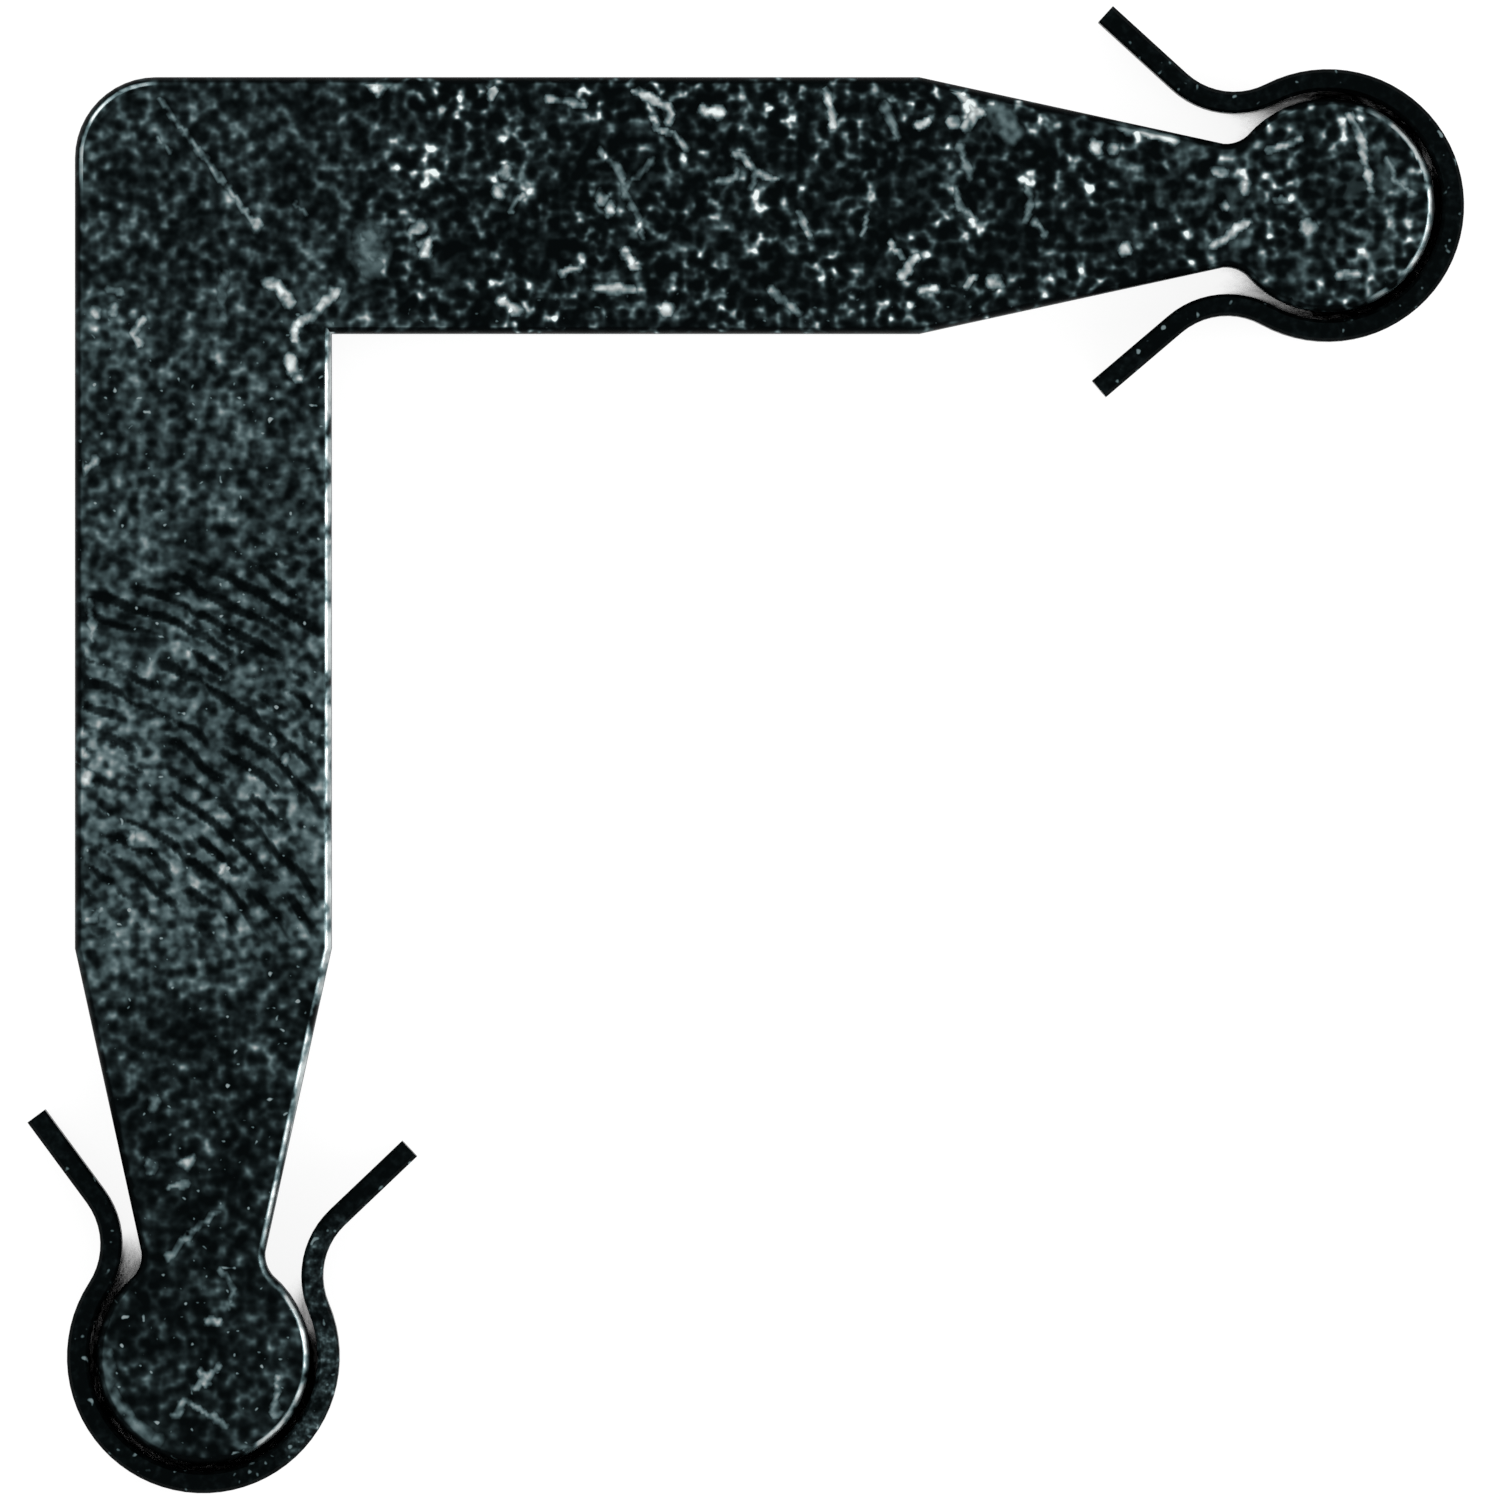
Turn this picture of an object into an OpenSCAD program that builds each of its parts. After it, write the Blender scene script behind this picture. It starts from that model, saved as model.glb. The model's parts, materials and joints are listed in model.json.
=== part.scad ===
// Screen frame corner key: a stamped steel angle plate with a round head on
// each arm, and an omega-shaped spring clip snapped round each head.
// Millimetres. The plate lies on z = 0 with one arm along +X and one along -Y,
// and the centre lines of the two arms cross at the origin.

/* [Corner key] */
// Width of each arm
arm_width = 9.5; // [8.5:0.1:14]
// Thickness of the steel plate
plate_thickness = 3.2; // [2:0.1:6]
// Right arm, from the corner to the centre of its head
right_arm_reach = 41.7; // [30:0.1:80]
// Lower arm, from the corner to the centre of its head
lower_arm_reach = 42.7; // [30:0.1:80]
// Radius of the outer corner
corner_radius = 3; // [1:0.1:4]
// Diameter of the round heads
head_diameter = 7.9; // [7.4:0.1:9]
// Width of the neck, where the taper reaches the near edge of the head
neck_width = 4.6; // [3:0.1:5]
// Length of the taper, from the full arm to the neck
taper_length = 11.2; // [8:0.1:14]
// Radius between the neck and the head
neck_fillet = 1.2; // [0.6:0.1:2]
// Radius of the edge that the punch rolls over, round the upper face
edge_roll = 0.3; // [0.1:0.05:0.6]

/* [Spring clips] */
// Thickness of the spring strip
strip_thickness = 0.8; // [0.5:0.05:1.2]
// Width of the spring strip, which stands on edge
strip_width = 3; // [2:0.1:5]
// Chamfer along the edges of the strip
strip_chamfer = 0.12; // [0.05:0.01:0.2]
// Gap between a head and the clip round it
clip_clearance = 0.3; // [0.1:0.05:0.5]
// Gap between the neck and each side of the clip's throat
throat_clearance = 1.05; // [0.6:0.05:1.1]
// Radius of the bend at the throat, along the middle of the strip
throat_bend = 3; // [1.5:0.1:5]
// Angle between each leg and the arm
leg_angle = 41.4; // [30:0.1:55]
// Length of each straight leg
leg_length = 3.7; // [2:0.1:6]
// Turn of the right clip on its head
right_clip_turn = -1; // [-6:0.5:6]
// Turn of the lower clip on its head
lower_clip_turn = -5; // [-6:0.5:6]

/* [Hidden] */
$fn = 96;

plate_color = [0.19, 0.23, 0.23];
clip_color = [0.05, 0.06, 0.06];

half_arm = arm_width / 2;
half_neck = neck_width / 2;
head_radius = head_diameter / 2;
taper_angle = atan2(half_arm - half_neck, taper_length);

// The rolled edge is a little flatter than a quarter circle, so the centre of
// its arc lies deeper than the roll reaches
roll_depth = 1.3 * edge_roll;
roll_radius = norm([roll_depth, roll_depth - edge_roll]);

// The fillet's circle bites a little into the taper and the head. Its centre
// slides along a line beside the taper until it is as far off the head.
fillet_bite = 0.99;
taper_direction = [cos(taper_angle), sin(taper_angle)];
taper_normal = [-sin(taper_angle), cos(taper_angle)];
fillet_line = [head_radius, half_neck] + fillet_bite * neck_fillet * taper_normal;
fillet_offset = fillet_line * taper_direction;
fillet_reach = head_radius + fillet_bite * neck_fillet;
fillet_slide = sqrt(fillet_offset ^ 2 + fillet_reach ^ 2 - fillet_line * fillet_line) - fillet_offset;
fillet_centre = fillet_line + fillet_slide * taper_direction;

// Bends of the clip, along the middle of the strip. The bend at the throat
// touches the bend of the ring from outside.
ring_bend = head_radius + clip_clearance + strip_thickness / 2;
throat_y = half_neck + throat_clearance + strip_thickness / 2 + throat_bend;
throat_x = sqrt((ring_bend + throat_bend) ^ 2 - throat_y ^ 2);
throat_middle = [throat_x, throat_y];
trim_size = 4 * (ring_bend + throat_bend);

// What the roll takes off at an upper edge that stands at x = 0, with the
// plate on the -X side
module roll_cut() {
    translate([-roll_depth, plate_thickness - roll_depth]) difference() {
        square(2 * roll_depth);
        circle(roll_radius);
    }
}

// Section of the plate from x = 0 to its rolled edge
module rolled_section(depth) {
    difference() {
        square([depth, plate_thickness]);
        translate([depth, 0]) roll_cut();
    }
}

// Section of the cut that leaves a rolled edge at x = 0
module edge_cut_section(depth) {
    translate([0, -plate_thickness]) square([depth, 3 * plate_thickness]);
    roll_cut();
}

// Plate on the -Y side of a straight edge that runs along +X
module edge_bar(length, depth) {
    translate([0, -depth, 0]) rotate([90, 0, 90]) linear_extrude(length) rolled_section(depth);
}

// Round plate, or a sector of one
module rolled_disc(radius, angle = 360) {
    rotate_extrude(angle = angle) rolled_section(radius);
}

// Plate of an arm with the middle of its head at x = 0 and the arm along +X,
// cut back on both sides to the tapered edges
module arm_bar(length) {
    taper_reach = 2 * (head_radius + taper_length);
    difference() {
        intersection_for(side = [0, 1]) mirror([0, side, 0])
            translate([0, half_arm, 0]) edge_bar(length, arm_width);
        for (side = [0, 1]) mirror([0, side, 0])
            translate([head_radius, half_neck, 0]) rotate(taper_angle)
                translate([-taper_reach, 0, 0]) rotate([90, 0, 90])
                    linear_extrude(2 * taper_reach) edge_cut_section(arm_width);
    }
}

// Plate inside the hollow curve between the neck and the head
module neck_corner() {
    neck_foot = [fillet_centre.x + fillet_centre.y * tan(taper_angle), 0];
    difference() {
        linear_extrude(plate_thickness) polygon([[0, 0], neck_foot, fillet_centre]);
        translate(fillet_centre) rotate_extrude() {
            translate([0, -plate_thickness]) square([neck_fillet, 3 * plate_thickness]);
            translate([neck_fillet, 0]) mirror([1, 0]) roll_cut();
        }
    }
}

// One arm with its head at the origin, along +X to the corner
module arm(reach) {
    arm_bar(reach + half_arm - corner_radius);
    rolled_disc(head_radius);
    for (side = [0, 1]) mirror([0, side, 0]) neck_corner();
}

// Frame of the right arm's head
module at_right_head() {
    translate([right_arm_reach, 0, 0]) rotate(180) children();
}

// Frame of the lower arm's head
module at_lower_head() {
    translate([0, -lower_arm_reach, 0]) rotate(90) children();
}

// Section of the strip, upright on z = 0 with its middle at x = 0
module strip_section() {
    half = strip_thickness / 2;
    inner = half - strip_chamfer;
    upper = strip_width - strip_chamfer;
    polygon([
        [-inner, 0], [inner, 0], [half, strip_chamfer], [half, upper],
        [inner, strip_width], [-inner, strip_width], [-half, upper], [-half, strip_chamfer]
    ]);
}

// Strip bent into a whole ring round the origin
module strip_ring(radius) {
    rotate_extrude() translate([radius, 0]) strip_section();
}

// Upright block over a plan, taller than the strip
module trim_block(plan) {
    translate([0, 0, -strip_width]) linear_extrude(3 * strip_width) polygon(plan);
}

// Bend round the head, open between the two bends of the throat
module clip_ring() {
    mouth = [[0, 0], 3 * throat_middle, 3 * [throat_x, -throat_y]];
    difference() {
        strip_ring(ring_bend);
        trim_block(mouth);
    }
}

// Bend at one side of the throat, trimmed square at the ring and at the leg,
// and the straight leg that follows it
module clip_leg() {
    outside_ring = [-3 * throat_middle, 3 * throat_middle, [trim_size, -trim_size]];
    before_leg = trim_size * [[-1, 0], [1, 0], [0, -1]];
    intersection() {
        translate(throat_middle) strip_ring(throat_bend);
        trim_block(outside_ring);
        translate(throat_middle) rotate(leg_angle - 90) trim_block(before_leg);
    }
    translate(throat_middle) rotate(leg_angle - 90) translate([throat_bend, leg_length, 0])
        rotate([90, 0, 0]) linear_extrude(leg_length) strip_section();
}

// Omega-shaped clip round the origin, open towards +X
module spring_clip() {
    clip_ring();
    for (side = [0, 1]) mirror([0, side, 0]) clip_leg();
}

module corner_key() {
    color(plate_color) {
        at_right_head() arm(right_arm_reach);
        at_lower_head() arm(lower_arm_reach);
        translate([corner_radius - half_arm, half_arm - corner_radius, 0])
            rotate(90) rolled_disc(corner_radius, 90);
    }
}

module right_spring_clip() {
    color(clip_color) at_right_head() rotate(right_clip_turn) spring_clip();
}

module lower_spring_clip() {
    color(clip_color) at_lower_head() rotate(lower_clip_turn) spring_clip();
}

corner_key();
right_spring_clip();
lower_spring_clip();
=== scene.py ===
import json
import math

import bmesh
import bpy
import numpy as np
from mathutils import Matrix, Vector, geometry, noise


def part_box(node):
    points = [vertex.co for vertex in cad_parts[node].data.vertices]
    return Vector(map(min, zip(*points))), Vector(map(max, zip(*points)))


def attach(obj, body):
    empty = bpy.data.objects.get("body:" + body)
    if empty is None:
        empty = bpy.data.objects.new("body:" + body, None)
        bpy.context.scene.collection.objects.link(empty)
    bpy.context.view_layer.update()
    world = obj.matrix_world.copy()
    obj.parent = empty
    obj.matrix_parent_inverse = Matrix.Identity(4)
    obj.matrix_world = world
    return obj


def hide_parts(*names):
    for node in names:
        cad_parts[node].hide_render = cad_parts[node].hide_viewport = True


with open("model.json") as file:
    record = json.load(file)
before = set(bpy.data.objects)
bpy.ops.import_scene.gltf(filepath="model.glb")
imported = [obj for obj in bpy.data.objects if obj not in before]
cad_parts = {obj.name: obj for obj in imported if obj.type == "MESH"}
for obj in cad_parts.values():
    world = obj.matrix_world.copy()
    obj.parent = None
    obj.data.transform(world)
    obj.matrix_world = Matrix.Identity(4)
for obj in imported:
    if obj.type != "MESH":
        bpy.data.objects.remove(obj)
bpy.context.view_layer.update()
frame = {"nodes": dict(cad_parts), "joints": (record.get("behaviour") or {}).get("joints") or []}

MM = 0.001

# The photograph is 1500 pixels square and looks straight down on the key. Its arms are 9.5 mm wide.
PHOTO_PIXELS = 1500
ARM_PIXELS = 256.3
ARM_WIDTH = 9.5
CROSSING_PIXEL = (203.0, 205.2)
PIXEL = ARM_WIDTH / ARM_PIXELS
PHOTO_WIDTH = PHOTO_PIXELS * PIXEL

# Camera, in mm: its sensor, its lens and the nearest and farthest that it sees
SENSOR = 36.0
LENS = 1200.0
NEAREST_SEEN = 10.0
FARTHEST_SEEN = 10000.0

# Softboxes: their distance from the key and their size, in mm
SOFTBOX_DISTANCE = 300
SOFTBOX_SIZE = 160

# Floor: half its width and how far it lies under the key, in mm
FLOOR_HALF = 2000.0
FLOOR_DROP = 0.02
# Its glow to the camera, the lamps' share on top of that, and its brightness to other rays
FLOOR_GLOW = 0.88
FLOOR_SHEEN = 0.18
PAPER_WHITE = 0.8

# Places on the key, in mm
key_low, key_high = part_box("corner_key")
TOP = key_high.z / MM
joints = {joint["name"]: joint for joint in frame["joints"]}
RIGHT_HEAD = joints["right_clip_swivel"]["pos_m"][0] / MM
LOWER_HEAD = joints["lower_clip_swivel"]["pos_m"][1] / MM

# Fine mesh of the plate: its pitch on the upper face, on the sides and on the underside, in mm
FACE_PITCH = 0.11
SIDE_STEP = 0.41
UNDERSIDE_PITCH = 1.0
# Places closer together than this are one, in m and, in plan, in mm
SAME_PLACE = 1e-7
SAME_PLAN_PLACE = 1e-6
# Upward part of the normal on the plate's flat ends
FLAT_NORMAL = 0.9999
# Least distance of the points inside an end from its rim, in pitches
RIM_ROOM = 0.6

# Relief of the upper face, in mm: depth of swells, dimples and ripples, rise of marks, and fade at the rim
SWELL_DEPTH = 0.012
DIMPLE_DEPTH = 0.008
RIPPLE_DEPTH = 0.04
MARK_RISE = 0.01
RIM_FADE = 0.35

# How far below the top the upper face and its rolled edge reach, and what still counts as the top
FACE_REACH = 0.5
ON_TOP = 0.001

# Torn metal on the punched sides, in mm: its upper and lower end, and the depth of the tears
TORN_TOP = 2.1
TORN_FOOT = 0.05
TORN_DEPTH = 0.02
# Most upward part of a normal that counts as a side
SIDE_NORMAL = 0.2
# Edges that turn by more than this many degrees look sharp
SHARP_ANGLE = 35

# Curved ripples across the lower arm: the middle of their curves, their pitch and the stretch that they cover
RIPPLE_CENTRE = (-11.5, -38.0)
RIPPLE_PITCH = 0.8
RIPPLE_START = -12.5
RIPPLE_END = -28.0
# Usual distance of the ripples from that middle
RIPPLE_RADIUS = 20

# Gaps between the heads and their clips: how far from the middle of a head they lie, and how deep they are
NEAR_HEAD = 5.6
GAP_DEPTH = 4.0
# Share of the sky that the floor sees in such a gap and just outside it
GAP_SKY = 0.085
OPEN_SKY = 0.13

# Bright marks on the upper face: the points of each stroke, its width and its brightness
CORNER_MARKS = [
    ([(-1.6, 3.9), (1.95, -0.75)], 0.15, 0.28),
    ([(1.95, -0.75), (1.98, -0.78)], 0.34, 0.4),
    ([(-1.75, 2.5), (-1.2, 1.95)], 0.1, 0.15),
    ([(3.4, 0.2), (3.85, -0.35)], 0.1, 0.15),
    ([(4.9, -3.2), (4.4, -3.7), (3.9, -4.2)], 0.28, 0.6),
    ([(2.45, -2.9), (2.55, -2.9)], 0.34, 0.6),
    ([(2.75, -2.95), (3.2, -3.6)], 0.3, 0.6),
    ([(3.65, -4.35), (3.4, -4.65), (3.4, -5.0)], 0.26, 0.75),
    ([(3.2, -5.6), (3.25, -6.1), (3.55, -6.45)], 0.28, 0.65),
    ([(-2.15, -4.2), (-2.6, -4.75), (-2.35, -5.2)], 0.2, 0.5),
    ([(0.8, -2.5), (0.65, -3.6), (0.8, -4.3)], 0.28, 0.12),
    ([(-4.05, -3.9), (-4.05, -4.0)], 0.34, 0.4),
    ([(-3.35, -3.8), (-3.35, -3.95)], 0.34, 0.35),
    ([(-3.5, -3.1), (-3.0, -3.25)], 0.2, 0.25),
]
RIGHT_ARM_MARKS = [
    ([(14.7, 1.95), (15.4, 1.4), (15.65, 0.4), (16.1, -0.4), (16.3, -1.25)], 0.17, 0.2),
    ([(15.65, 0.6), (16.65, 1.65)], 0.15, 0.14),
    ([(16.05, 4.2), (16.65, 3.95), (17.25, 3.7), (17.3, 3.1)], 0.22, 0.8),
    ([(16.7, 3.25), (16.9, 2.75), (17.3, 2.7)], 0.2, 0.7),
    ([(17.55, 2.5), (17.85, 2.15)], 0.2, 0.4),
    ([(19.85, 1.9), (20.45, 1.25), (21.15, 0.95)], 0.22, 0.45),
    ([(19.1, 0.85), (19.85, 1.2)], 0.2, 0.3),
    ([(20.45, 1.25), (20.4, 0.55)], 0.17, 0.2),
    ([(25.9, -2.65), (26.45, -1.9)], 0.24, 0.7),
    ([(25.5, -1.45), (25.9, -1.9)], 0.18, 0.45),
    ([(25.3, 3.7), (25.7, 2.55)], 0.26, 0.2),
    ([(28.0, 2.15), (28.45, 1.05)], 0.22, 0.18),
    ([(27.9, 0.55), (28.1, -0.1), (28.6, -0.6)], 0.2, 0.25),
    ([(23.05, 4.25), (23.3, 3.7), (23.35, 2.95)], 0.2, 0.6),
    ([(18.55, 3.5), (19.25, 3.4)], 0.28, 0.75),
    ([(22.1, -0.3), (22.5, -1.2)], 0.18, 0.4),
    ([(24.6, -0.3), (24.45, -1.05)], 0.16, 0.25),
    ([(21.05, -3.15), (22.05, -4.0)], 0.22, 0.35),
    ([(26.6, -3.15), (27.15, -3.1)], 0.22, 0.7),
    ([(28.25, -3.0), (28.6, -2.6)], 0.2, 0.5),
    ([(29.3, -2.9), (29.4, -2.85)], 0.42, 0.75),
    ([(26.5, 2.95), (26.95, 3.15)], 0.22, 0.7),
    ([(27.8, 3.1), (27.9, 3.1)], 0.34, 0.8),
    ([(28.25, 2.95), (28.75, 3.45)], 0.22, 0.7),
    ([(28.05, 4.2), (28.6, 3.45)], 0.22, 0.5),
    ([(29.4, 3.6), (29.9, 2.7)], 0.7, 0.13),
    ([(30.6, 0.75), (30.7, 0.0), (30.45, -0.5)], 0.16, 0.25),
    ([(30.8, -0.6), (31.2, -1.05)], 0.22, 0.3),
    ([(14.8, 0.2), (14.8, 0.3)], 0.3, 0.65),
    ([(15.1, -0.05), (15.1, -0.25)], 0.28, 0.8),
    ([(15.65, -1.75), (16.0, -2.3)], 0.25, 0.75),
    ([(10.9, 0.5), (11.0, 0.4)], 0.32, 0.5),
    ([(11.2, 1.2), (11.2, 1.35)], 0.3, 0.4),
    ([(11.4, -0.15), (11.9, 0.45)], 0.17, 0.3),
    ([(7.8, -0.9), (8.1, -0.8)], 0.36, 0.5),
    ([(8.25, -1.5), (8.25, -1.7)], 0.42, 0.8),
    ([(6.2, 4.5), (6.5, 4.2), (6.85, 4.5)], 0.22, 0.65),
    ([(11.05, -3.6), (11.65, -3.9)], 0.28, 0.55),
    ([(13.4, -2.45), (14.0, -2.3)], 0.18, 0.45),
    ([(14.5, -3.05), (15.9, -3.15)], 0.26, 0.4),
    ([(17.15, -3.75), (17.15, -3.9)], 0.36, 0.55),
    ([(10.7, 4.0), (10.75, 4.25)], 0.24, 0.65),
    ([(12.8, 3.95), (14.1, 3.7)], 0.2, 0.35),
    ([(6.2, -1.3), (6.25, -2.0)], 1.1, 0.11),
]
RIGHT_HEAD_MARKS = [
    ([(37.5, -1.55), (38.65, -0.6)], 0.25, 0.7),
    ([(39.5, 2.05), (40.55, 2.4)], 0.22, 0.5),
    ([(42.5, 3.35), (42.95, 2.4), (43.1, 1.5), (43.35, 0.6)], 0.2, 0.45),
    ([(43.85, 1.75), (44.2, 0.95), (44.8, 0.4)], 0.18, 0.2),
    ([(40.9, -0.8), (41.0, -0.9)], 0.4, 0.7),
    ([(39.7, 0.2), (40.3, 0.2)], 0.18, 0.4),
    ([(42.15, -2.6), (42.75, -2.55)], 0.22, 0.5),
    ([(34.0, 3.05), (34.4, 2.8)], 0.28, 0.8),
    ([(34.9, 2.75), (35.9, 2.45)], 0.28, 0.75),
    ([(33.1, 2.1), (33.1, 2.2)], 0.32, 0.65),
    ([(33.8, 2.05), (33.8, 2.15)], 0.3, 0.55),
    ([(34.15, -1.55), (34.15, -1.65)], 0.32, 0.65),
    ([(38.65, 0.75), (38.6, 0.6)], 0.36, 0.5),
    ([(37.6, 1.2), (37.8, 1.2)], 0.28, 0.5),
    ([(37.9, 0.05), (37.95, -0.05)], 0.28, 0.4),
]
LOWER_ARM_MARKS = [
    ([(-4.35, -9.8), (-3.95, -9.35)], 0.22, 0.4),
    ([(-4.25, -26.5), (-3.8, -26.15)], 0.22, 0.4),
    ([(-4.35, -21.2), (-4.35, -21.3)], 0.5, 0.9),
    ([(-4.2, -14.8), (-4.1, -16.1)], 0.2, 0.3),
    ([(2.6, -19.8), (2.6, -20.0)], 0.24, 0.5),
    ([(3.05, -20.5), (3.1, -20.65)], 0.24, 0.4),
    ([(0.7, -24.5), (0.7, -24.65)], 0.24, 0.5),
    ([(-2.6, -23.3), (-2.6, -23.6)], 0.24, 0.3),
]
LOWER_HEAD_MARKS = [
    ([(-1.35, -39.05), (-0.65, -38.35), (-0.1, -37.8), (0.5, -37.35)], 0.17, 0.22),
    ([(-1.3, -36.45), (-0.6, -36.25)], 0.17, 0.2),
    ([(0.65, -39.4), (1.15, -40.2), (0.95, -40.85)], 0.16, 0.13),
    ([(-0.35, -43.85), (0.05, -43.5), (0.5, -43.05)], 0.2, 0.3),
    ([(-0.05, -43.2), (0.15, -43.65)], 0.17, 0.5),
    ([(-1.05, -44.9), (-0.6, -44.25)], 0.18, 0.25),
    ([(-0.6, -44.3), (0.9, -45.3)], 0.17, 0.22),
    ([(2.65, -44.85), (2.8, -43.5)], 0.17, 0.4),
    ([(0.25, -41.4), (0.6, -41.4)], 0.22, 0.35),
    ([(-3.6, -42.6), (-3.55, -43.5), (-3.25, -44.3), (-2.6, -45.2), (-1.8, -45.8)], 0.45, 0.13),
    ([(-1.85, -33.2), (-1.85, -33.35)], 0.34, 0.2),
    ([(-1.95, -35.55), (-1.95, -35.7)], 0.34, 0.25),
    ([(-0.65, -35.5), (-0.5, -35.4)], 0.32, 0.4),
]
DARK_MARKS = [
    ([(4.6, -4.7), (4.15, -4.35), (3.9, -4.65)], 0.35, 1.0),
    ([(4.1, -5.3), (3.9, -6.2)], 0.25, 0.8),
]
BRIGHT_MARKS = CORNER_MARKS + RIGHT_ARM_MARKS + RIGHT_HEAD_MARKS + LOWER_ARM_MARKS + LOWER_HEAD_MARKS


# Camera, lights and floor

def photo_place(pixel_x, pixel_y):
    """Place on the key's upper face, in mm, that the photograph shows at a pixel."""
    return (pixel_x - CROSSING_PIXEL[0]) * PIXEL, (CROSSING_PIXEL[1] - pixel_y) * PIXEL


def add_camera():
    """Camera straight above the middle of the photograph, far off with a long lens."""
    data = bpy.data.cameras.new("camera")
    data.sensor_width = SENSOR
    data.lens = LENS
    camera = bpy.data.objects.new("camera", data)
    x, y = photo_place(PHOTO_PIXELS / 2, PHOTO_PIXELS / 2)
    height = TOP + PHOTO_WIDTH * LENS / SENSOR
    camera.location = Vector((x, y, height)) * MM
    data.clip_start = NEAREST_SEEN * MM
    data.clip_end = FARTHEST_SEEN * MM
    bpy.context.scene.collection.objects.link(camera)
    bpy.context.scene.camera = camera


def add_softbox(name, azimuth, elevation, power):
    """Square lamp, in degrees and watts, that looks at the middle of the key."""
    data = bpy.data.lights.new(name, "AREA")
    data.size = SOFTBOX_SIZE * MM
    data.energy = power
    lamp = bpy.data.objects.new(name, data)
    turn = math.radians(azimuth)
    rise = math.radians(elevation)
    towards = Vector((math.cos(turn) * math.cos(rise), math.sin(turn) * math.cos(rise), math.sin(rise)))
    centre = (key_low + key_high) / 2
    lamp.location = centre + towards * SOFTBOX_DISTANCE * MM
    lamp.rotation_euler = towards.to_track_quat("Z", "Y").to_euler()
    bpy.context.scene.collection.objects.link(lamp)


def add_world():
    """Even light from all round, which the camera sees as white."""
    world = bpy.data.worlds.new("studio")
    world.use_nodes = True
    background = world.node_tree.nodes["Background"]
    background.inputs["Color"].default_value = (1, 1, 1, 1)
    background.inputs["Strength"].default_value = 1.0
    bpy.context.scene.world = world


# Materials

class Shader:
    """Node tree of one material, with short calls for the nodes that its patterns use."""

    def __init__(self, name):
        self.material = bpy.data.materials.new(name)
        self.material.use_nodes = True
        self.tree = self.material.node_tree
        self.tree.nodes.clear()

    def put(self, socket, value):
        if isinstance(value, bpy.types.NodeSocket):
            self.tree.links.new(value, socket)
        else:
            socket.default_value = value

    def node(self, kind, inputs=None, **settings):
        made = self.tree.nodes.new(kind)
        for key, value in settings.items():
            setattr(made, key, value)
        for key, value in (inputs or {}).items():
            self.put(made.inputs[key], value)
        return made

    def math(self, operation, *values):
        made = self.node("ShaderNodeMath", operation=operation)
        for socket, value in zip(made.inputs, values):
            self.put(socket, value)
        return made.outputs[0]

    def times(self, *values):
        product = values[0]
        for value in values[1:]:
            product = self.math("MULTIPLY", product, value)
        return product

    def total(self, start, *shares):
        """A start value and the sum of shares, each a value and its weight."""
        for value, weight in shares:
            start = self.math("MULTIPLY_ADD", value, weight, start)
        return start

    def regional(self, start, regions, shares):
        """A start value and what each region adds to it."""
        return self.total(start, *((regions[name], share) for name, share in shares.items()))

    def limited(self, value, low, high):
        return self.math("MINIMUM", self.math("MAXIMUM", value, low), high)

    def step(self, value, low, high):
        """Smooth step from 0 at low to 1 at high, where high may be the lower number."""
        inputs = {"Value": value, "From Min": low, "From Max": high}
        return self.node("ShaderNodeMapRange", inputs, interpolation_type="SMOOTHSTEP").outputs[0]

    def noise(self, place, size, detail=1.0):
        """Smooth random values about 0, with features of about this size in mm."""
        inputs = {"Vector": place, "Scale": 1 / size, "Detail": detail, "Distortion": 0.0}
        made = self.node("ShaderNodeTexNoise", inputs)
        return self.math("MULTIPLY_ADD", made.outputs[0], 2.0, -1.0)

    def linear(self, shade):
        """Linear brightness where the logarithm of the brightness on a screen is this shade."""
        shown = self.math("EXPONENT", shade)
        return self.math("POWER", self.math("DIVIDE", self.math("ADD", shown, 0.055), 1.055), 2.4)

    def blend(self, factor, first, second):
        """Value between two values."""
        made = self.node("ShaderNodeMix", {"Factor": factor, "A": first, "B": second})
        return made.outputs[0]

    def parts(self, vector):
        return self.node("ShaderNodeSeparateXYZ", {0: vector}).outputs

    def place(self, stretch=(1, 1, 1)):
        """Place on the object, in mm."""
        at = self.node("ShaderNodeTexCoord").outputs["Object"]
        scale = [part / MM for part in stretch]
        return self.node("ShaderNodeVectorMath", {0: at, 1: scale}, operation="MULTIPLY").outputs[0]

    def distance(self, centre):
        """Distance from a place, in mm."""
        inputs = {0: self.place(), 1: centre}
        return self.node("ShaderNodeVectorMath", inputs, operation="DISTANCE").outputs["Value"]

    def normal(self):
        return self.parts(self.node("ShaderNodeTexCoord").outputs["Normal"])

    def attribute(self, name):
        return self.node("ShaderNodeAttribute", attribute_name=name).outputs["Fac"]

    def tinted(self, light):
        """Colour of this brightness, between the tint of the dark parts and that of the light ones."""
        tint = self.node("ShaderNodeMix", {"Factor": self.step(light, *BARE_BEGINS)}, data_type="RGBA")
        self.put(tint.inputs[6], (*DARK_TINT, 1))
        self.put(tint.inputs[7], (*LIGHT_TINT, 1))
        inputs = {0: tint.outputs[2], "Scale": light}
        return self.node("ShaderNodeVectorMath", inputs, operation="SCALE").outputs[0]

    def metal(self, light, roughness, height):
        """Metal with this brightness and roughness, and fine relief that follows the height."""
        inputs = {"Strength": BUMP_STRENGTH, "Distance": BUMP_HEIGHT * MM, "Height": height}
        relief = self.node("ShaderNodeBump", inputs).outputs[0]
        inputs = {"Base Color": self.tinted(light), "Metallic": 1.0, "Roughness": roughness, "Normal": relief}
        surface = self.node("ShaderNodeBsdfPrincipled", inputs)
        self.node("ShaderNodeOutputMaterial", {"Surface": surface.outputs[0]})
        return self.material


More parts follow.
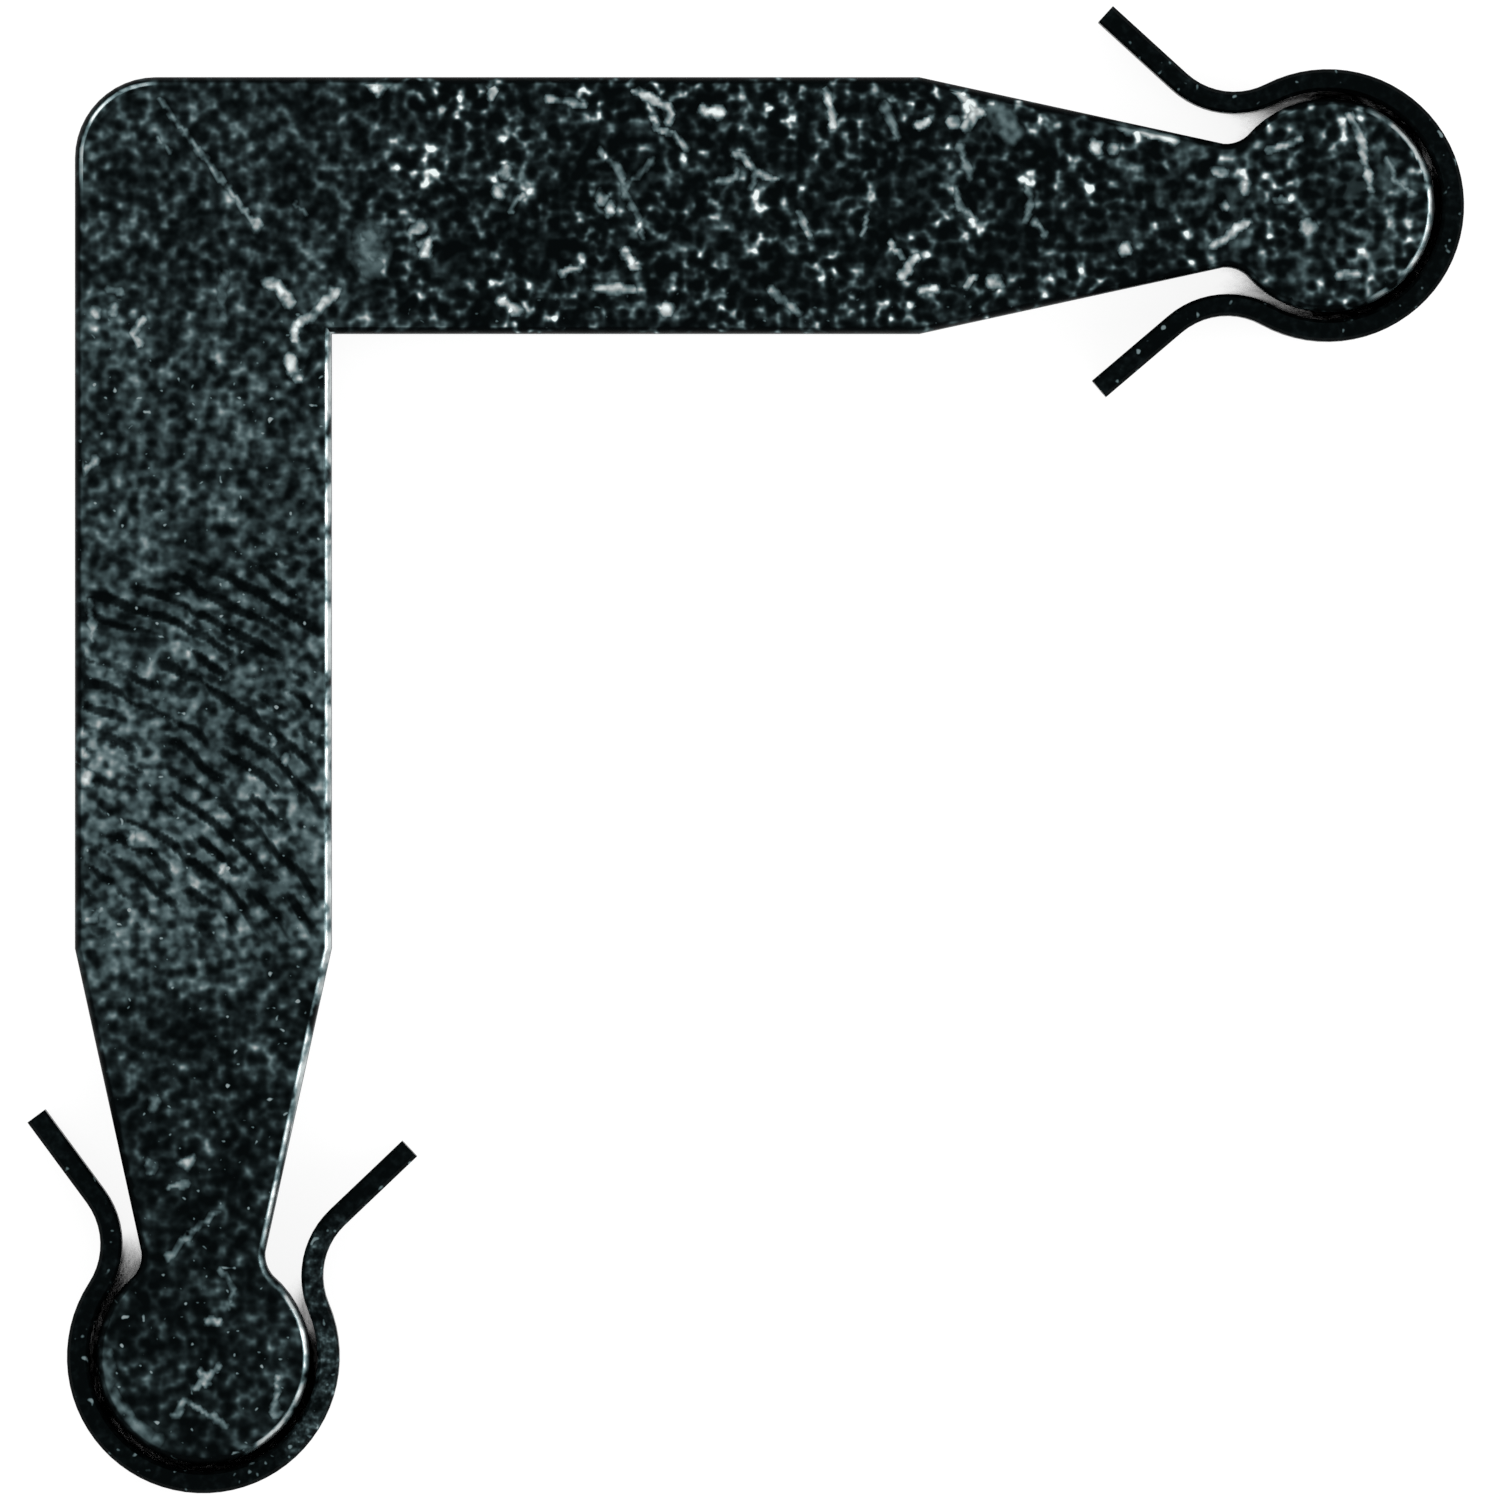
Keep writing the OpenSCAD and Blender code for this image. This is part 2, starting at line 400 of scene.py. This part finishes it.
# Steel: the tints of blackened and of bare metal, and the brightness over which one turns into the other
DARK_TINT = (0.68, 1.08, 1.15)
LIGHT_TINT = (0.93, 1.02, 1.02)
BARE_BEGINS = (0.02, 0.4)
BLACKEST = 0.0025
SPECK_SIZE = 0.26
BUMP_STRENGTH = 0.3
BUMP_HEIGHT = 0.01

# Stretches, in mm, over which one region of the upper face turns into the next
RIGHT_BEGINS = (4.5, 9.0)
RIGHT_HEAD_BEGINS = (RIGHT_HEAD - 11, RIGHT_HEAD - 3)
LOWER_BEGINS = (-2.0, -7.0)
RIPPLES_BEGIN = (RIPPLE_START, RIPPLE_START - 6)
LOWER_NECK_BEGINS = (LOWER_HEAD + 17, LOWER_HEAD + 10)
LONG_EDGES_BEGIN = (2.2, 4.0)

# Tone of the upper face, the logarithm of its brightness on a screen, and what each region adds
FACE_TONE = -2.08
TONE_SHARES = {
    "right": -0.45, "right_head": 0.5, "lower": 0.36, "ripples": 0.4, "lower_neck": -1.14, "patches": 0.8,
}
# How far its light spots lie above that tone, and what each region adds
LIGHT_SPREAD = 0.51
LIGHT_SHARES = {
    "right": 0.32, "clusters": 1.0, "long_edges": 0.2, "right_head": -0.17, "lower": -0.13, "ripples": -0.08,
    "lower_neck": 0.25,
}
# How far its dark spots lie below that tone, and what each region adds
DARK_SPREAD = 0.55
DARK_SHARES = {"right": 0.09, "right_head": 0.13, "lower": 0.05, "lower_neck": -0.1}

# Patterns of the plate: sizes in mm of patches, of clusters of flecks, of flecks, and of worn stretches
PATCH_SIZE = 2.4
CLUSTER_SIZE = 1.7
FLECK_SIZE = 0.37
WEAR_SIZE = 1.2
# Usual distance of the flecks' noise from 0
FLECK_NOISE = 0.225
# What a ripple adds to the tone
RIPPLE_TONE = -1.5
# Specks on the lower arm: the noise over which they begin, and their brightness
SPECKS_BEGIN = (0.54, 0.76)
SPECK_LIGHT = 0.3
# Share of a mark's brightness that is even, and the share that follows the flecks
MARK_EVEN = 0.85
MARK_FLECKED = 0.3
FACE_BRIGHTEST = 0.85

# Upward part of the surface normal over which the rolled edge, its painted highlight, which is partly wear,
# and the sides begin
ROLL_BEGINS = (0.97, 0.85)
HIGHLIGHT_AND_WEAR_BEGINS = (0.96, 0.85)
SIDES_BEGIN = (0.25, 0.05)
# Painted shade: share of brightness that the rolled edge loses; brightness of its painted highlight, which is
# partly wear, and what wear adds to that
ROLL_PAINTED_SHADE = 0.75
HIGHLIGHT_AND_WEAR_LIGHT = 0.36
WEAR_IN_HIGHLIGHT = 0.8
# Painted highlight, partly wear, on edges that face right towards the right softbox: their direction, and how
# wear breaks it up
FACING_RIGHT = (0.35, 0.6)
RIGHT_BREAKS = (-0.35, 0.1)
# Painted highlight, partly wear, on the edge of the outer corner, towards the left softbox: its place, its
# lower and upper end on the roll, and how wear breaks it up
CORNER_X = (-1.6, -2.2)
CORNER_Y = (0.6, 1.6)
CORNER_LOWER = (0.8, 0.9)
CORNER_UPPER = (0.998, 0.975)
CORNER_BREAKS = (-0.5, 0.3)
CORNER_SHARE = 0.6

# Punched sides: size in mm of waves where tears begin and of upright lines, and how long the lines are
TEAR_WAVES = 1.5
LINE_SIZE = 0.25
LINE_STRETCH = (1, 1, 0.06)
# Their brightness, what torn metal and lines add to it, and its least
SIDE_LIGHT = 0.05
TORN_LIGHT = -0.02
LINE_LIGHT = 0.05
SIDE_BLACKEST = 0.008

# Roughness of the plate, and what bare metal and torn metal add to it
PLATE_ROUGHNESS = 0.5
BARE_ROUGHNESS = -0.18
TORN_ROUGHNESS = 0.12

# Clips: sizes in mm of their patches and grain, and the place where their black has worn off
CLIP_PATCH_SIZE = 2.5
CLIP_GRAIN_SIZE = 0.32
WORN_X = (2.4, 3.6)
WORN_Y = (-36.0, -39.0)
# Their tone, and what each pattern adds
CLIP_TONE = -3.3
CLIP_SHARES = {"worn": 1.1, "patches": 0.5, "grain": 1.7, "worn_grain": 1.2}
# The noise over which their specks begin, the brightness of specks, and the most that is reached
CLIP_SPECKS_BEGIN = (0.5, 0.75)
CLIP_SPECK_LIGHT = 0.2
CLIP_BRIGHTEST = 0.6
# Their roughness, and what the grain adds to it
CLIP_ROUGHNESS = 0.42
GRAIN_ROUGHNESS = 0.2


def plate_steel():
    """Blackened plate with a mottled, flecked face, dark punched sides, a rolled edge in painted shade, and a
    painted highlight, partly wear, on edges that face right and on the outer corner.
    """
    shader = Shader("plate_steel")
    place = shader.place()
    x, y, z = shader.parts(place)
    nx, _, nz = shader.normal()

    # Regions of the upper face, how light they are, and how far their light and dark spots go
    on_right = shader.step(x, *RIGHT_BEGINS)
    on_lower = shader.step(y, *LOWER_BEGINS)
    beside_middle = shader.step(shader.math("ABSOLUTE", y), *LONG_EDGES_BEGIN)
    regions = {
        "right": on_right,
        "right_head": shader.step(x, *RIGHT_HEAD_BEGINS),
        "lower": on_lower,
        "ripples": shader.step(y, *RIPPLES_BEGIN),
        "lower_neck": shader.step(y, *LOWER_NECK_BEGINS),
        "patches": shader.noise(place, PATCH_SIZE, detail=2.0),
        "clusters": shader.times(shader.noise(place, CLUSTER_SIZE), on_right),
        "long_edges": shader.times(beside_middle, on_right),
    }
    tone = shader.regional(FACE_TONE, regions, TONE_SHARES)
    light_spread = shader.regional(LIGHT_SPREAD, regions, LIGHT_SHARES)
    dark_spread = shader.regional(DARK_SPREAD, regions, DARK_SHARES)

    # Flecks, ripples, specks and bright marks
    flecks = shader.math("DIVIDE", shader.noise(place, FLECK_SIZE, detail=0.5), FLECK_NOISE)
    above = shader.times(shader.math("MAXIMUM", flecks, 0.0), light_spread)
    below = shader.times(shader.math("MINIMUM", flecks, 0.0), dark_spread)
    ripples = shader.attribute("ripple")
    light = shader.linear(shader.total(tone, (above, 1.0), (below, 1.0), (ripples, RIPPLE_TONE)))
    specks = shader.step(shader.noise(place, SPECK_SIZE, detail=0.0), *SPECKS_BEGIN)
    light = shader.math("MAXIMUM", light, shader.times(specks, on_lower, SPECK_LIGHT))
    marks = shader.times(shader.attribute("mark"), shader.total(MARK_EVEN, (flecks, MARK_FLECKED)))
    light = shader.math("MAXIMUM", light, marks)

    # Rolled edge: painted shade, but a painted highlight, partly wear, where it faces right and, further up,
    # round the outer corner
    level = shader.math("SQRT", shader.total(1.0001, (shader.times(nz, nz), -1.0)))
    facing = shader.math("DIVIDE", nx, level)
    wear = shader.noise(place, WEAR_SIZE, detail=3.0)
    # Painted highlight, partly wear, where the rolled edge faces the right softbox
    right = shader.times(shader.step(facing, *FACING_RIGHT), shader.step(nz, *HIGHLIGHT_AND_WEAR_BEGINS))
    right = shader.times(right, shader.step(wear, *RIGHT_BREAKS))
    # Painted highlight, partly wear, round the outer corner, which faces the left softbox
    corner = shader.times(shader.step(x, *CORNER_X), shader.step(y, *CORNER_Y))
    corner = shader.times(corner, shader.step(nz, *CORNER_LOWER), shader.step(nz, *CORNER_UPPER))
    corner = shader.times(corner, shader.step(wear, *CORNER_BREAKS), CORNER_SHARE)
    # Painted shade: the rolled edge is darker where it slopes away from the top
    light = shader.times(light, shader.total(1.0, (shader.step(nz, *ROLL_BEGINS), -ROLL_PAINTED_SHADE)))
    # Brightness of the painted highlight, broken up by wear
    highlight_and_wear = shader.total(HIGHLIGHT_AND_WEAR_LIGHT, (wear, WEAR_IN_HIGHLIGHT))
    light = shader.blend(shader.math("MAXIMUM", right, corner), light, highlight_and_wear)

    # Punched sides, with a smooth band above and torn metal below
    side = shader.step(nz, *SIDES_BEGIN)
    height = shader.total(z, (shader.noise(place, TEAR_WAVES), 0.5))
    torn = shader.step(height, TORN_TOP, TORN_TOP - 0.2)
    lines = shader.noise(shader.place(LINE_STRETCH), LINE_SIZE, detail=2.0)
    side_light = shader.total(SIDE_LIGHT, (torn, TORN_LIGHT), (lines, LINE_LIGHT))
    light = shader.blend(side, light, shader.math("MAXIMUM", side_light, SIDE_BLACKEST))

    light = shader.limited(light, BLACKEST, FACE_BRIGHTEST)
    bare = shader.step(light, *BARE_BEGINS)
    torn_side = shader.times(side, torn)
    roughness = shader.total(PLATE_ROUGHNESS, (bare, BARE_ROUGHNESS), (torn_side, TORN_ROUGHNESS))
    return shader.metal(light, roughness, flecks)


def spring_steel():
    """Black spring strip, all but bare of flecks."""
    shader = Shader("spring_steel")
    place = shader.place()
    x, y, _ = shader.parts(place)
    grain = shader.noise(place, CLIP_GRAIN_SIZE, detail=2.0)
    worn = shader.times(shader.step(x, *WORN_X), shader.step(y, *WORN_Y))
    patterns = {
        "worn": worn,
        "patches": shader.noise(place, CLIP_PATCH_SIZE),
        "grain": grain,
        "worn_grain": shader.times(grain, worn),
    }
    light = shader.linear(shader.regional(CLIP_TONE, patterns, CLIP_SHARES))
    specks = shader.step(shader.noise(place, SPECK_SIZE, detail=0.0), *CLIP_SPECKS_BEGIN)
    light = shader.math("MAXIMUM", light, shader.times(specks, CLIP_SPECK_LIGHT))
    light = shader.limited(light, BLACKEST, CLIP_BRIGHTEST)
    return shader.metal(light, shader.total(CLIP_ROUGHNESS, (grain, GRAIN_ROUGHNESS)), grain)


def floor_white(shader, glow, sheen):
    """Floor that glows, and that lamps brighten a little."""
    shining = shader.node("ShaderNodeEmission", {"Strength": glow})
    lit = shader.node("ShaderNodeBsdfDiffuse", {"Color": sheen})
    return shader.node("ShaderNodeAddShader", {0: shining.outputs[0], 1: lit.outputs[0]}).outputs[0]


def white_paper():
    """Floor that the camera sees as white, but for painted shade in the gaps round the heads, which hardly
    see the sky.
    """
    shader = Shader("white_paper")
    rays = shader.node("ShaderNodeLightPath").outputs
    seen = shader.math("MAXIMUM", rays["Is Camera Ray"], rays["Is Glossy Ray"])
    seen = shader.math("MAXIMUM", seen, rays["Is Transmission Ray"])
    far_right = shader.distance((RIGHT_HEAD, 0, 0))
    far_lower = shader.distance((0, LOWER_HEAD, 0))
    near = shader.step(shader.math("MINIMUM", far_right, far_lower), NEAR_HEAD, NEAR_HEAD - 1.0)
    sky = shader.node("ShaderNodeAmbientOcclusion", {"Distance": GAP_DEPTH * MM}, samples=64).outputs["AO"]
    # Painted shade: the floor's glow goes off where it sees little sky
    in_open = shader.step(sky, GAP_SKY, OPEN_SKY)
    open_white = floor_white(shader, FLOOR_GLOW, (FLOOR_SHEEN, FLOOR_SHEEN, FLOOR_SHEEN, 1))
    gap_white = floor_white(shader, shader.times(in_open, FLOOR_GLOW), shader.times(in_open, FLOOR_SHEEN))
    white = shader.node("ShaderNodeMixShader", {0: near, 1: open_white, 2: gap_white})
    paper = shader.node("ShaderNodeBsdfDiffuse", {"Color": (PAPER_WHITE, PAPER_WHITE, PAPER_WHITE, 1)})
    mixed = shader.node("ShaderNodeMixShader", {0: seen, 1: paper.outputs[0], 2: white.outputs[0]})
    shader.node("ShaderNodeOutputMaterial", {"Surface": mixed.outputs[0]})
    return shader.material


def add_floor():
    """Wide sheet just under the key."""
    half = FLOOR_HALF * MM
    mesh = bpy.data.meshes.new("floor")
    corners = [(-half, -half, 0), (half, -half, 0), (half, half, 0), (-half, half, 0)]
    mesh.from_pydata(corners, [], [(0, 1, 2, 3)])
    mesh.materials.append(white_paper())
    floor = bpy.data.objects.new("floor", mesh)
    floor.location.z = -FLOOR_DROP * MM
    bpy.context.scene.collection.objects.link(floor)


# Plate with a fine upper face

def smooth_step(value, low, high):
    share = np.clip((value - low) / (high - low), 0, 1)
    return share * share * (3 - 2 * share)


def noise_field(x, y, size, seed):
    """Smooth random values from -1 to 1, with features of about this size in mm."""
    return np.array([noise.noise((a, b, seed)) for a, b in zip(x / size, y / size)])


def segment_distance(x, y, start, end):
    dx, dy = end[0] - start[0], end[1] - start[1]
    along = np.clip(((x - start[0]) * dx + (y - start[1]) * dy) / (dx * dx + dy * dy), 0, 1)
    return np.hypot(x - start[0] - along * dx, y - start[1] - along * dy)


def rim_distance(x, y, rim):
    """Distance of points to the rim, below 0 outside it."""
    nearest = np.full(x.shape, np.inf)
    inside = np.zeros(x.shape, bool)
    for start, end in zip(rim, rim[1:] + rim[:1]):
        nearest = np.minimum(nearest, segment_distance(x, y, start, end))
        if start[1] != end[1]:
            crossing = start[0] + (y - start[1]) * (end[0] - start[0]) / (end[1] - start[1])
            inside ^= ((start[1] > y) != (end[1] > y)) & (x < crossing)
    return np.where(inside, nearest, -nearest)


def open_rim(mesh, upper):
    """Vertices round the open upper or lower end, in the order of a face that would close it."""
    middle = TOP / 2 * MM
    loops = [edge.link_loops[0] for edge in mesh.edges if edge.is_boundary]
    loops = [loop for loop in loops if (loop.vert.co.z > middle) == upper]
    following = {loop.link_loop_next.vert: loop.vert for loop in loops}
    order = [loops[0].vert]
    while following[order[-1]] is not order[0]:
        order.append(following[order[-1]])
    return order


def in_plan(vertices):
    return [(vertex.co.x / MM, vertex.co.y / MM) for vertex in vertices]


def slice_sides(mesh):
    """Cuts the sides and the rolled edge into short pieces."""
    for axis in range(3):
        across = Vector.Fill(3)
        across[axis] = 1
        slices = int((key_high[axis] - key_low[axis]) / (SIDE_STEP * MM))
        for index in range(1, slices):
            place = key_low + across * index * SIDE_STEP * MM
            everything = mesh.verts[:] + mesh.edges[:] + mesh.faces[:]
            bmesh.ops.bisect_plane(mesh, geom=everything, dist=SAME_PLACE, plane_co=place, plane_no=across)
    bmesh.ops.triangulate(mesh, faces=mesh.faces)


def close_end(mesh, upper, outline, pitch):
    """Closes a flat end of the plate with small triangles."""
    rim = open_rim(mesh, upper)
    columns = np.arange(key_low.x / MM, key_high.x / MM, pitch)
    rows = np.arange(key_low.y / MM, key_high.y / MM, pitch * math.sqrt(3) / 2)
    x, y = np.meshgrid(columns, rows)
    x[1::2] += pitch / 2
    keep = rim_distance(x, y, outline) > RIM_ROOM * pitch
    plan = in_plan(rim) + list(zip(x[keep], y[keep]))
    places, _, triangles, sources, _, _ = geometry.delaunay_2d_cdt(
        [Vector(point) for point in plan], [], [list(range(len(rim)))], 1, SAME_PLAN_PLACE)
    made = [rim[source[0]] if source[0] < len(rim) else mesh.verts.new((*place * MM, rim[0].co.z))
            for place, source in zip(places, sources)]
    for triangle in triangles:
        corners = [made[corner] for corner in triangle]
        mesh.faces.new(corners if upper else corners[::-1])


def refine(mesh):
    """Gives the plate small triangles, and returns the outline of its flat upper face."""
    flat = [face for face in mesh.faces if abs(face.normal.z) > FLAT_NORMAL]
    bmesh.ops.delete(mesh, geom=flat, context="FACES")
    outlines = {upper: in_plan(open_rim(mesh, upper)) for upper in (True, False)}
    slice_sides(mesh)
    close_end(mesh, True, outlines[True], FACE_PITCH)
    close_end(mesh, False, outlines[False], UNDERSIDE_PITCH)
    return outlines[True]


def ripple_strokes(x, y):
    """Curved strokes across the lower arm, broken at random: 0 on the face and 1 in a stroke."""
    from_x = x - RIPPLE_CENTRE[0]
    from_y = y - RIPPLE_CENTRE[1]
    wobble = 0.2 * noise_field(x, y, size=1.8, seed=1.5) + 0.1 * noise_field(x, y, size=0.6, seed=2.5)
    radius = np.hypot(from_x, from_y) + wobble
    along = np.arctan2(from_y, from_x) * RIPPLE_RADIUS
    wave = np.cos(2 * math.pi * radius / RIPPLE_PITCH)
    breaks = noise_field(along / 1.2, radius / 0.55, size=1.0, seed=3.5)
    breaks += 0.3 * noise_field(x, y, size=0.5, seed=4.5)
    more_on_left = 0.25 * smooth_step(x, 0.5, -3.5)
    kept = smooth_step(breaks, -0.35 + more_on_left, 0.05 + more_on_left)
    zone = smooth_step(y, RIPPLE_START + 1, RIPPLE_START - 2) * smooth_step(y, RIPPLE_END, RIPPLE_END + 2)
    return smooth_step(wave, 0.15, 0.7) * kept * zone * smooth_step(x, 4.5, 4.0)


def strokes(x, y, marks):
    """Strength of ragged strokes, 0 where there is none."""
    ragged_x = x + 0.14 * noise_field(x, y, size=0.28, seed=7.5)
    ragged_y = y + 0.14 * noise_field(x, y, size=0.28, seed=8.5)
    beads = 1 + 1.1 * noise_field(x, y, size=0.24, seed=9.5)
    strength = np.zeros(x.shape)
    for points, width, peak in marks:
        gaps = [segment_distance(ragged_x, ragged_y, start, end) for start, end in zip(points, points[1:])]
        shape = smooth_step(np.min(gaps, axis=0) / width, 0.85, 0.0)
        strength = np.maximum(strength, peak * np.clip(shape * beads, 0, 1))
    return strength


def plate_mesh():
    """The key's own form with small triangles, and the outline of its flat upper face."""
    mesh = bmesh.new()
    mesh.from_mesh(frame["nodes"]["corner_key"].data)
    bmesh.ops.remove_doubles(mesh, verts=mesh.verts, dist=SAME_PLACE)
    rim = refine(mesh)
    mesh.normal_update()
    data = bpy.data.meshes.new("corner_key_plate")
    mesh.to_mesh(data)
    mesh.free()
    return data, rim


def vertex_rows(data, name):
    """Places or normals of the vertices, one in each row."""
    values = np.empty(3 * len(data.vertices), np.float32)
    data.vertices.foreach_get(name, values)
    return values.reshape(-1, 3).astype(float)


def carve_face(places, rim):
    """Carves the upper face, and returns the strength of ripples and of bright marks at each vertex."""
    x, y, z = places.T.copy()
    upper = z > TOP - FACE_REACH
    ripple = np.maximum(ripple_strokes(x, y), strokes(x, y, DARK_MARKS)) * upper
    mark = strokes(x, y, BRIGHT_MARKS) * upper
    swells = SWELL_DEPTH * (1 + noise_field(x, y, size=3.0, seed=5.5))
    dimples = DIMPLE_DEPTH * (1 + noise_field(x, y, size=0.45, seed=6.5))
    fade = smooth_step(rim_distance(x, y, rim), 0, RIM_FADE)
    depth = (swells + dimples + RIPPLE_DEPTH * ripple - MARK_RISE * np.minimum(mark, 0.8)) * fade
    places[:, 2] -= np.where(z > TOP - ON_TOP, np.maximum(depth, 0), 0)
    return ripple, mark


def tear_sides(places, normals):
    """Roughens the sides below their smooth band, inwards only."""
    x, y, z = places.T.copy()
    side = (np.abs(normals[:, 2]) < SIDE_NORMAL) & (z > TORN_FOOT)
    torn = smooth_step(z + 0.4 * noise_field(x + y, x - y, size=1.5, seed=10.5), TORN_TOP, TORN_TOP - 0.5)
    tears = TORN_DEPTH * (1 + noise_field(x + y + 0.7 * z, x - y + 0.3 * z, size=0.5, seed=11.5))
    inward = np.where(side, torn * tears, 0)
    places[:, :2] -= normals[:, :2] * inward[:, None]


def add_plate():
    """The key's plate, with ripples, swells and scratches in its upper face and torn metal on its sides."""
    data, rim = plate_mesh()
    places = vertex_rows(data, "co") / MM
    normals = vertex_rows(data, "normal")
    ripple, mark = carve_face(places, rim)
    tear_sides(places, normals)
    data.vertices.foreach_set("co", (places * MM).astype(np.float32).ravel())
    for name, values in (("ripple", ripple), ("mark", mark)):
        data.attributes.new(name, "FLOAT", "POINT").data.foreach_set("value", values.astype(np.float32))
    data.shade_smooth()
    data.set_sharp_from_angle(angle=math.radians(SHARP_ANGLE))
    data.materials.append(plate_steel())

    plate = bpy.data.objects.new("corner_key_plate", data)
    bpy.context.scene.collection.objects.link(plate)
    weighted = plate.modifiers.new("even_shading", "WEIGHTED_NORMAL")
    weighted.keep_sharp = True
    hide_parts("corner_key")
    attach(plate, "key")


def dress_clips():
    """The clips keep their own form and get their material."""
    strip = spring_steel()
    for node in ("right_spring_clip", "lower_spring_clip"):
        clip = frame["nodes"][node]
        clip.data.materials.clear()
        clip.data.materials.append(strip)


add_camera()
add_world()
add_softbox("right_softbox", azimuth=0, elevation=35, power=0.35)
add_softbox("left_softbox", azimuth=135, elevation=45, power=0.2)
add_floor()
add_plate()
dress_clips()

bpy.context.scene.view_settings.view_transform = "Standard"
